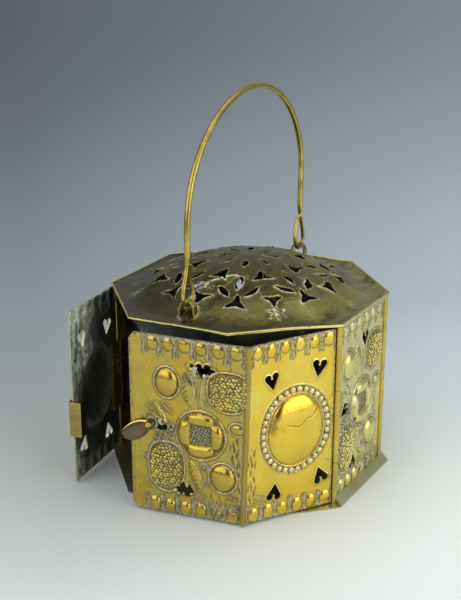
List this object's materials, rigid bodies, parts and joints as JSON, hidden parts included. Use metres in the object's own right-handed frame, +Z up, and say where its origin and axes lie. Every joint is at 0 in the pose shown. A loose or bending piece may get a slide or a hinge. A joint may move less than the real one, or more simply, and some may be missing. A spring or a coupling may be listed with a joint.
{
  "type": "foot warmer",
  "caption": "Eight sided brass foot warmer with a pierced domed lid, repousse walls, a swinging bail handle and two hinged door leaves with a turning latch.",
  "frame": {"origin": "centre of the underside of the base plate, on the floor", "axes": "+Z up; -Y towards the viewer of the front grape panel when the doors are shut; +X to that viewer's right"},
  "size_m": [0.23, 0.2566, 0.326],
  "materials": {
    "base_brass": "old rubbed brass, dark in the corners",
    "panel_brass": "polished repousse brass with verdigris in its recesses",
    "trim_brass": "rubbed brass rod and strip",
    "wire_brass": "rubbed brass wire",
    "lid_brass": "olive brown patina over brass, bright at the edge",
    "keeper_brass": "rubbed brass strip",
    "latch_brass": "brown patinated brass",
    "inner_band": "smoke darkened brass",
    "solder": "dull soldered strip",
    "hinge_steel": "dull steel wire",
    "pan_iron": "sooty black iron"
  },
  "bodies": {
    "case": {"base_plate": "base_brass", "foot_moulding": "base_brass", "coal_pan": "pan_iron", "wall_right": "panel_brass", "wall_back_right": "panel_brass", "wall_back": "panel_brass", "wall_back_left": "panel_brass", "wall_left": "panel_brass", "corner_beads": "trim_brass", "rim_strips": "solder", "door_stop_band": "inner_band", "lid": "lid_brass", "bail_eye_front": "wire_brass", "bail_eye_back": "wire_brass", "eye_rivet_heads": "wire_brass", "case_knuckles_right": "trim_brass", "case_knuckles_left": "trim_brass", "hinge_pin_right": "hinge_steel", "hinge_pin_left": "hinge_steel"},
    "door_narrow": {"narrow_door_panel": "panel_brass", "narrow_door_knuckle": "trim_brass", "keeper_sleeve": "keeper_brass"},
    "door_wide": {"wide_door_front_panel": "panel_brass", "wide_door_side_panel": "panel_brass", "wide_door_bead": "trim_brass", "wide_door_knuckle": "trim_brass", "latch_washer": "solder"},
    "latch": {"latch_button": "latch_brass", "latch_spindle": "trim_brass", "latch_tail": "latch_brass"},
    "bail": {"bail": "wire_brass"}
  },
  "joints": [
    {"name": "narrow_door_hinge", "type": "hinge", "parent": "case", "child": "door_narrow", "pos_m": [-0.107, -0.04432, 0.0775], "axis": [0, 0, 1], "range_deg": [-62, 39.6]},
    {"name": "wide_door_hinge", "type": "hinge", "parent": "case", "child": "door_wide", "pos_m": [0.107, -0.04432, 0.0775], "axis": [0, 0, 1], "range_deg": [-12, 93]},
    {"name": "latch_turn", "type": "hinge", "parent": "door_wide", "child": "latch", "pos_m": [-0.01157, -0.12952, 0.079], "axis": [-0.2079, 0.9781, 0], "range_deg": [0, 100]},
    {"name": "bail_swing", "type": "hinge", "parent": "case", "child": "bail", "pos_m": [0, 0, 0.168], "axis": [0, 1, 0], "range_deg": [-95, 95]}
  ]
}
